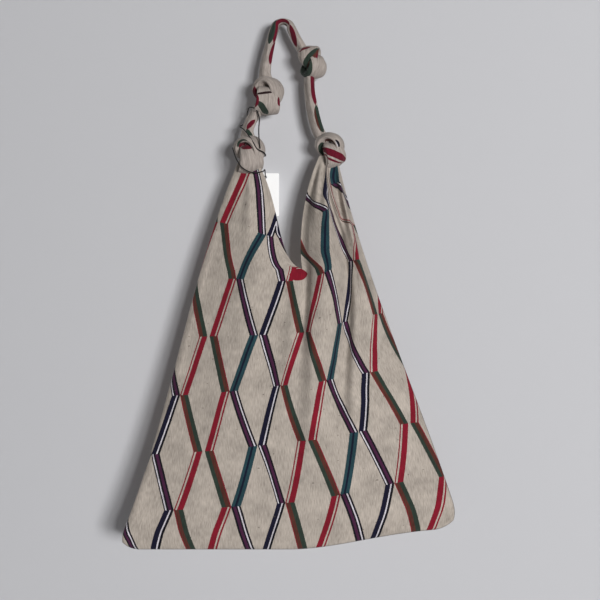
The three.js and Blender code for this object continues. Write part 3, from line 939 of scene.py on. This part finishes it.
def zigzag_group():
    """Zig-zag bands of the weave. Half the spread of two bands, s, runs to and fro from
    row to row, and bands run at columns -s, s, 1 - s and 1 + s, every two columns.
    In each row a band shows one of its two sets of stripes."""
    w, given, put = group(
        "zigzag bands",
        [("Place", "NodeSocketVector")],
        [("Colour", "NodeSocketColor"), ("Band", "NodeSocketFloat")],
    )
    x, y = w.split(given["Place"])
    frayed = w.noise(given["Place"], 1400, 1.0)
    column = w.math("DIVIDE", x, COLUMN * MM)
    column = w.math("ADD", column, w.math("MULTIPLY", w.math("SUBTRACT", frayed, 0.5), FRAY))
    row = w.math("DIVIDE", y, ROW * MM)
    zigzag = w.math("PINGPONG", w.math("ADD", row, ROWS_ADDED), 1)
    odd = w.math("FLOORED_MODULO", w.math("FLOOR", row), 2)
    half = (BAND + TOUCH) / 2
    spread = w.math("MULTIPLY_ADD", zigzag, 0.5 - 2 * half, half)

    def extra(name):
        """What one band's spread has beyond the common one, from row to row."""
        low, high = SPREAD[name]
        return w.math("MULTIPLY_ADD", zigzag, high - low, low)

    def pair(offset, names, way):
        """One set of bands a column apart, and which of two bands each one is."""
        moved = w.math("ADD", offset, COLUMNS_ADDED)
        near = w.math("SUBTRACT", w.math("FRACT", moved), 0.5)
        second = w.math("FLOORED_MODULO", w.math("FLOOR", moved), 2)
        first_extra, second_extra = (extra(name) for name in names)
        more = w.math("MULTIPLY_ADD", second, w.math("SUBTRACT", second_extra, first_extra), first_extra)
        near = w.math("MULTIPLY_ADD", more, way, near)
        place = w.math("MULTIPLY_ADD", near, 1 / BAND, 0.5)
        inside = w.math("LESS_THAN", w.math("ABSOLUTE", near), BAND / 2)
        colours = [
            w.mix(odd, w.stripes(place, BANDS[n + "_even"]), w.stripes(place, BANDS[n + "_odd"]))
            for n in names
        ]
        return w.mix(second, *colours), inside

    falling, on_falling = pair(w.math("ADD", column, spread), ("first", "third"), 1)
    rising, on_rising = pair(w.math("SUBTRACT", column, spread), ("second", "fourth"), -1)
    colour = w.mix(on_rising, falling, rising)
    w.join(colour, put["Colour"])
    w.join(w.math("MAXIMUM", on_falling, on_rising), put["Band"])
    return w.tree


def mark_group():
    """One straight piece of a band on flat cloth that closes on itself after a girth:
    the place is taken from the middle of the piece, along its way and across it. The
    piece narrows to its ends, with the cube of the share of its half length."""
    w, given, put = group(
        "band piece",
        [
            ("Place", "NodeSocketVector"),
            ("Middle", "NodeSocketVector"),
            ("Way", "NodeSocketVector"),
            ("Half length", "NodeSocketFloat"),
            ("Width", "NodeSocketFloat"),
            ("Girth", "NodeSocketFloat"),
        ],
        [("Across", "NodeSocketFloat"), ("Inside", "NodeSocketFloat")],
    )
    x, y = w.split(given["Place"])
    middle_x, middle_y = w.split(given["Middle"])
    way_x, way_y = w.split(given["Way"])
    reach = w.math("MULTIPLY", given["Girth"], 0.5)
    back = w.math("MULTIPLY", given["Girth"], -0.5)
    off_x = w.math("WRAP", w.math("SUBTRACT", x, middle_x), reach, back)
    off_y = w.math("SUBTRACT", y, middle_y)
    along = w.math("ADD", w.math("MULTIPLY", off_x, way_x), w.math("MULTIPLY", off_y, way_y))
    aside = w.math("SUBTRACT", w.math("MULTIPLY", off_x, way_y), w.math("MULTIPLY", off_y, way_x))
    across = w.math("ADD", w.math("DIVIDE", aside, given["Width"]), 0.5)
    share = w.math("DIVIDE", w.math("ABSOLUTE", along), given["Half length"])
    half = w.math("MULTIPLY_ADD", w.math("POWER", share, 3.0), -0.5, 0.5)
    aside = w.math("ABSOLUTE", w.math("SUBTRACT", across, 0.5))
    w.join(across, put["Across"])
    w.join(w.math("LESS_THAN", aside, half), put["Inside"])
    return w.tree


def weave_group():
    """Ribbed weave: fine ribs up the cloth crossed by finer threads, streaks along the
    ribs, and a few dark slubs."""
    w, given, put = group(
        "ribbed weave",
        [("Place", "NodeSocketVector")],
        [("Height", "NodeSocketFloat"), ("Streak", "NodeSocketFloat"), ("Slub", "NodeSocketFloat")],
    )
    x, y = w.split(given["Place"])
    sway = w.math("MULTIPLY", w.math("SUBTRACT", w.noise(given["Place"], 160), 0.5), 0.0012)
    rib = w.math("SINE", w.math("MULTIPLY", w.math("ADD", x, sway), 2 * np.pi / (RIB * MM)))
    thread = w.math("SINE", w.math("MULTIPLY", y, 2 * np.pi / (THREAD * MM)))
    height = w.math("MULTIPLY_ADD", w.math("MULTIPLY", rib, thread), 0.35, rib)
    w.join(height, put["Height"])
    drawn = w.merge(x, w.math("MULTIPLY", y, 0.12))
    cloudy = w.math("MULTIPLY", w.noise(given["Place"], 38, 2.0), 0.35)
    streak = w.math("MULTIPLY_ADD", w.noise(drawn, 900, 3.0, 0.6), 0.65, cloudy)
    w.join(streak, put["Streak"])
    specks = w.noise(w.merge(w.math("MULTIPLY", x, 0.6), y), 330, 0.0)
    w.join(w.math("GREATER_THAN", specks, 0.83), put["Slub"])
    return w.tree


def new_material(name):
    """A material, its wiring and its shader."""
    material = bpy.data.materials.new(name)
    material.use_nodes = True
    wiring = Wiring(material.node_tree)
    return material, wiring, material.node_tree.nodes["Principled BSDF"]


def panel_colour(w, place, band_piece):
    """The zig-zag bands on cream, and the mark beside the mouth."""
    bands = w.node("ShaderNodeGroup", node_tree=zigzag_group())
    w.join(place, bands.inputs["Place"])
    colour = w.mix(bands.outputs["Band"], CREAM, bands.outputs["Colour"])
    return marked(w, place, band_piece, colour, PANEL_MARKS, PANEL_GIRTH)


def strap_colour(w, place, band_piece):
    """The marks of the strap on a darker copy of the cream: painted shade of the knots."""
    return marked(w, place, band_piece, SHADED_STRAP_CREAM, STRAP_MARKS, STRAP_GIRTH)


def marked(w, place, band_piece, colour, marks, girth):
    """A colour with pieces of bands laid over it, one after the other."""
    for name, start, start_round, end, end_round, width, stripes in marks:
        ends = np.array([(start_round, start), (end_round, end)]) * MM
        reach = ends[1] - ends[0]
        length = float(np.linalg.norm(reach))
        mark = w.node("ShaderNodeGroup", node_tree=band_piece, label=name)
        w.join(place, mark.inputs["Place"])
        w.join((*ends.mean(0).tolist(), 0), mark.inputs["Middle"])
        w.join((*(reach / length).tolist(), 0), mark.inputs["Way"])
        w.join(length / 2, mark.inputs["Half length"])
        w.join(width * MM, mark.inputs["Width"])
        w.join(girth * MM, mark.inputs["Girth"])
        colour = w.mix(mark.outputs["Inside"], colour, w.stripes(mark.outputs["Across"], stripes))
    return colour


def cotton_material(name, weave, band_piece, coloured):
    """Cream ribbed cotton, woven in colours that are given by the place on it."""
    material, w, shader = new_material(name)
    place = w.node("ShaderNodeUVMap", uv_map="cloth").outputs[0]
    ribs = w.node("ShaderNodeGroup", node_tree=weave)
    w.join(place, ribs.inputs["Place"])
    base = coloured(w, place, band_piece)
    shade = w.math("MULTIPLY", ribs.outputs["Streak"], 2.0)
    tint = w.node("ShaderNodeCombineColor")
    for socket in tint.inputs[:3]:
        w.join(shade, socket)
    base = w.mix(1.0, base, tint.outputs[0], "MULTIPLY")
    base = w.mix(w.math("MULTIPLY", ribs.outputs["Slub"], 0.55), base, SLUB)
    w.join(base, shader.inputs["Base Color"])
    shader.inputs["Roughness"].default_value = 0.92
    shader.inputs["Specular IOR Level"].default_value = 0.25
    shader.inputs["Sheen Weight"].default_value = 0.08
    relief = w.node("ShaderNodeBump")
    relief.inputs["Strength"].default_value = 0.35
    relief.inputs["Distance"].default_value = 0.0003
    w.join(ribs.outputs["Height"], relief.inputs["Height"])
    w.join(relief.outputs[0], shader.inputs["Normal"])
    return material


def card_material():
    """Plain white card with a faint felt of fibres."""
    material, w, shader = new_material("blank card")
    place = w.node("ShaderNodeTexCoord").outputs["Object"]
    fibre = w.noise(place, 900, 4.0, 0.6)
    w.join(w.mix(fibre, *CARD), shader.inputs["Base Color"])
    shader.inputs["Roughness"].default_value = 0.55
    return material


def cord_material():
    """Black twisted cord: slanting strands from the cord's own length and girth."""
    material, w, shader = new_material("black cord")
    x, y = w.split(w.node("ShaderNodeUVMap", uv_map="cloth").outputs[0])
    strand = w.math("SINE", w.math("MULTIPLY", w.math("ADD", x, y), 2 * np.pi / (STRAND * MM)))
    light = w.math("MULTIPLY_ADD", strand, 0.5, 0.5)
    w.join(w.mix(light, *CORD_BLACK), shader.inputs["Base Color"])
    shader.inputs["Roughness"].default_value = 0.8
    relief = w.node("ShaderNodeBump")
    relief.inputs["Distance"].default_value = 0.0003
    w.join(strand, relief.inputs["Height"])
    w.join(relief.outputs[0], shader.inputs["Normal"])
    return material


# Stage


PHOTO_WIDTH = 756  # millimetres across the picture in the plane of the seams
PHOTO_MIDDLE = (21.4, -347.8)
CAMERA_BACK = 1100
BACKDROP_BACK = 25  # behind the top of the strap
BACKDROP_LEAN = 0.052  # further back towards the floor
BACKDROP_TURN = 0.1  # nearer on the right
SENSOR = 36.0
STAGE_REACH = 2500
FLOOR_DROP = 900
BACKDROP_GREY = srgb(191, 191, 194)
FLOOR_GREY = srgb(205, 205, 207)
SKY = 0.1
# Place, size and power of each lamp
LAMPS = {
    "window": ((2213, -4494, -348), 1050, 182),
    "bulb": ((1400, -4806, -348), 400, 59),
    "rear": ((-1700, 2400, 600), 1200, 60),
}


def stage_plane(name, corners, colour, one_sided=False):
    """A plain pale surface. A one-sided one can't be seen from behind, and it neither
    lights nor shades the bag."""
    mesh = bpy.data.meshes.new(name)
    mesh.from_pydata((np.array(corners) * MM).tolist(), [], [(0, 1, 2, 3)])
    plane = bpy.data.objects.new(name, mesh)
    bpy.context.scene.collection.objects.link(plane)
    material, w, shader = new_material(name)
    shader.inputs["Base Color"].default_value = colour
    shader.inputs["Roughness"].default_value = 0.9
    if one_sided:
        clear = w.node("ShaderNodeBsdfTransparent")
        choose = w.node("ShaderNodeMixShader")
        w.join(w.node("ShaderNodeNewGeometry").outputs["Backfacing"], choose.inputs[0])
        w.join(shader.outputs[0], choose.inputs[1])
        w.join(clear.outputs[0], choose.inputs[2])
        w.join(choose.outputs[0], material.node_tree.nodes["Material Output"].inputs[0])
        plane.visible_diffuse = False
        plane.visible_shadow = False
    mesh.materials.append(material)


def lamp(name, place, size, energy):
    """A square soft lamp that faces the middle of the bag."""
    light = bpy.data.lights.new(name, "AREA")
    light.energy = energy
    light.size = size * MM
    holder = bpy.data.objects.new(name, light)
    bpy.context.scene.collection.objects.link(holder)
    holder.location = Vector(place) * MM
    aim = Vector((PHOTO_MIDDLE[0], 0, PHOTO_MIDDLE[1])) * MM
    holder.rotation_euler = (aim - holder.location).to_track_quat("-Z", "Y").to_euler()


def build_stage():
    """Backdrop, floor, soft light and the camera."""
    scene = bpy.context.scene
    scene.view_settings.view_transform = "Standard"
    reach, floor = STAGE_REACH, -FLOOR_DROP
    sides = [(-reach, floor), (reach, floor), (reach, reach), (-reach, reach)]
    backdrop = [(x, BACKDROP_BACK - BACKDROP_LEAN * z - BACKDROP_TURN * x, z) for x, z in sides]
    stage_plane("backdrop", backdrop, BACKDROP_GREY, one_sided=True)
    sides = [(-reach, -reach), (reach, -reach), (reach, reach), (-reach, reach)]
    stage_plane("floor", [(x, y, floor) for x, y in sides], FLOOR_GREY)
    world = bpy.data.worlds.new("soft room light")
    scene.world = world
    world.use_nodes = True
    sky = world.node_tree.nodes["Background"]
    sky.inputs[0].default_value = (1, 1, 1, 1)
    sky.inputs[1].default_value = SKY
    for name, settings in LAMPS.items():
        lamp(name, *settings)
    camera = bpy.data.cameras.new("camera")
    camera.sensor_width = SENSOR
    camera.lens = SENSOR * CAMERA_BACK / PHOTO_WIDTH
    holder = bpy.data.objects.new("camera", camera)
    scene.collection.objects.link(holder)
    holder.location = Vector((PHOTO_MIDDLE[0], -CAMERA_BACK, PHOTO_MIDDLE[1])) * MM
    holder.rotation_euler = (np.pi / 2, 0, 0)
    scene.camera = holder


# Put together


def sheet_area(panel):
    """Flat area of a panel in square metres: the sum over the cells of its flat grid."""
    total = 0
    for half in ("left", "right"):
        place = half_panel(panel, half)[1] * MM
        du = place[1:, 1:] - place[:-1, :-1]
        dv = place[:-1, 1:] - place[1:, :-1]
        total += np.abs(du[..., 0] * dv[..., 1] - du[..., 1] * dv[..., 0]).sum() / 2
    return float(total)


def build():
    """Stage, pieces and their finishes; each piece is put under the root and hides the imported part it
    replaces.
    """
    build_stage()
    weave, band_piece = weave_group(), mark_group()
    cotton = cotton_material("woven cotton", weave, band_piece, panel_colour)
    cord, path, length = cord_piece()
    strap = strap_piece()
    panels = {panel: panel_piece(panel) for panel in ("front", "back")}
    for piece, node, slot in (
        (panels["front"], "front_panel", "cloth"),
        (panels["back"], "back_panel", "cloth"),
        (strap, "strap", "cloth"),
        (cord, "tag_cord", "cord"),
    ):
        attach(piece, "root")
        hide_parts(node)
    for piece in panels.values():
        piece.data.materials.append(cotton)
    strap.data.materials.append(cotton_material("strap cotton", weave, band_piece, strap_colour))
    cord.data.materials.append(cord_material())
    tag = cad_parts["swing_tag"]
    tag.data.materials.clear()
    tag.data.materials.append(card_material())
    for panel, piece in panels.items():
        sheet_area(panel)


build()
